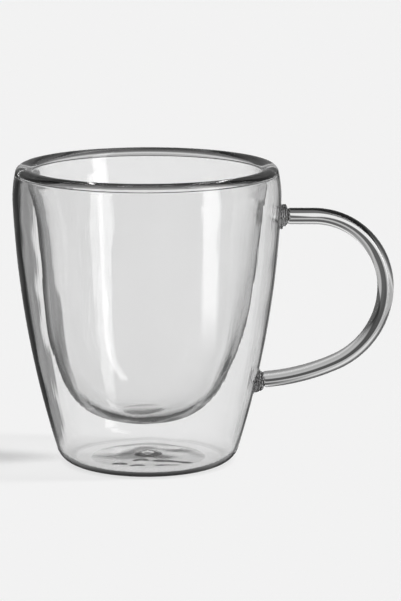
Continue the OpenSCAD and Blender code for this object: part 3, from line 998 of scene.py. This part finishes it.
sky_split = sky_tree.nodes.new("ShaderNodeSeparateXYZ")
sky_tree.links.new(sky_coord.outputs["Generated"], sky_split.inputs["Vector"])
sky_x, sky_y, sky_z = (sky_split.outputs[axis] for axis in "XYZ")
sky_aside = sky_tones(sky_calc("ABSOLUTE", sky_x), ASIDE_TONES)
rise_tone = sky_calc("MAXIMUM", sky_tones(sky_z, RISE_TONES), sky_aside)
rise_tone = sky_blend(sky_tones(sky_x, LEFTWARD), rise_tone, sky_tones(sky_y, LOW_BEND_TONES))
inside_first = sky_calc("GREATER_THAN", sky_crossings, 1 + HALF)
behind = sky_calc("MULTIPLY", sky_tones(sky_y, BEHIND), inside_first)
room_tone = sky_blend(behind, sky_tones(sky_z, ROOM_TONES), sky_tones(sky_z, BACK_TONES))
# Painted shade: the more mirrors, the darker the sky's tone.
room_tone = sky_calc("MULTIPLY", room_tone, sky_tones(sky_bounces, GUIDED_SHADE_TONES))
bent_tone = sky_blend(sky_calc("GREATER_THAN", sky_bounces, HALF), rise_tone, room_tone)
seen = sky_calc("MAXIMUM", sky_path.outputs["Is Camera Ray"], sky_path.outputs["Is Transmission Ray"])
sky_tone = sky_blend(bent_light(sky_tree, sky_path), sky_blend(seen, 0, SEEN), bent_tone)
sky_tree.links.new(sky_tone, sky_tree.nodes["Background"].inputs["Color"])
print("room tones", len(ROOM_TONES), "behind", len(BACK_TONES))

# %% [markdown]
# A tall glowing card in front, on the right, draws the upright streaks. Only mirrored light sees it, so
# it never shows through the glass from behind. A low key light from the right throws the long soft shadow
# to the left.

# %% Card and lamp
STRIP_SIZE = (0.08, 0.7)
STRIP_TONE = 3.5
STRIP_PLACE = (0.252, -0.177, STRIP_SIZE[1] / 2)
KEY_LIGHT = 10.52
KEY_RISE = 15
KEY_FORWARD = -0.02
KEY_SOFT = 10


def place_lamp(name, data, place, aim):
    """Stand a lamp or a card at a place, facing a point."""
    made = bpy.data.objects.new(name, data)
    bpy.context.scene.collection.objects.link(made)
    made.location = place
    made.rotation_euler = (Vector(aim) - Vector(place)).to_track_quat("-Z", "Y").to_euler()
    made.visible_camera = False
    return made


strip_glow = bpy.data.materials.new("strip_glow")
strip_glow.use_nodes = True
strip_tree = strip_glow.node_tree
strip_path = strip_tree.nodes.new("ShaderNodeLightPath")
glow = strip_tree.nodes.new("ShaderNodeEmission")
glow.inputs["Strength"].default_value = STRIP_TONE
unseen = strip_tree.nodes.new("ShaderNodeBsdfTransparent")
strip_mix = strip_tree.nodes.new("ShaderNodeMixShader")
mirrored_once = calc(strip_tree, "GREATER_THAN", strip_path.outputs["Glossy Depth"], HALF)
strip_tree.links.new(mirrored_once, strip_mix.inputs["Fac"])
strip_tree.links.new(unseen.outputs["BSDF"], strip_mix.inputs[1])
strip_tree.links.new(glow.outputs["Emission"], strip_mix.inputs[2])
strip_tree.links.new(strip_mix.outputs["Shader"], strip_tree.nodes["Material Output"].inputs["Surface"])
strip_sheet = flat_sheet("strip", *STRIP_SIZE, strip_glow)
strip = place_lamp("strip", strip_sheet, STRIP_PLACE, (0, 0, STRIP_PLACE[2]))
strip.visible_diffuse = False
strip.visible_shadow = False
key_data = bpy.data.lights.new("key", "SUN")
key_data.energy = KEY_LIGHT
key_data.angle = math.radians(KEY_SOFT)
key = place_lamp("key", key_data, (1, KEY_FORWARD, math.tan(math.radians(KEY_RISE))), (0, 0, 0))
key.visible_glossy = False
key.visible_transmission = False
print("card", STRIP_SIZE, "m, key light", KEY_RISE, "degrees up")

# %% [markdown]
# ## Camera
# The photograph looks slightly down on the cup from nearly a metre away, with the handle side-on. A long
# lens keeps the walls nearly parallel, so the camera's distance and lens are set together.

# %% The camera
CAMERA_PLACE = (16.83 * MM, -0.900, 0.2289)
CAMERA_PITCH = 11.15
CAMERA_LENS = 173.1
SENSOR_W = 36
NEAREST, FARTHEST = 0.01, 50
camera_data = bpy.data.cameras.new("camera")
camera_data.lens = CAMERA_LENS
camera_data.sensor_width = SENSOR_W
camera_data.clip_start = NEAREST
camera_data.clip_end = FARTHEST
camera = bpy.data.objects.new("camera", camera_data)
bpy.context.scene.collection.objects.link(camera)
camera.location = CAMERA_PLACE
camera.rotation_euler = (math.radians(90 - CAMERA_PITCH), 0, 0)
bpy.context.scene.camera = camera
print("camera", CAMERA_PLACE)

# %% [markdown]
# ## Light paths
# Light in a thin glass wall is mirrored many times before it leaves, so the limits on bounces are high.
# Caustics are off, because the films already pass the lamps' light and caustics would only add speckle.

# %% Light paths and tone
cycles = bpy.context.scene.cycles
cycles.max_bounces = 128
cycles.transmission_bounces = 64
cycles.glossy_bounces = 96
cycles.transparent_max_bounces = 32
cycles.caustics_reflective = False
cycles.caustics_refractive = False
bpy.context.scene.view_settings.view_transform = "Standard"
print("bounces", cycles.max_bounces)
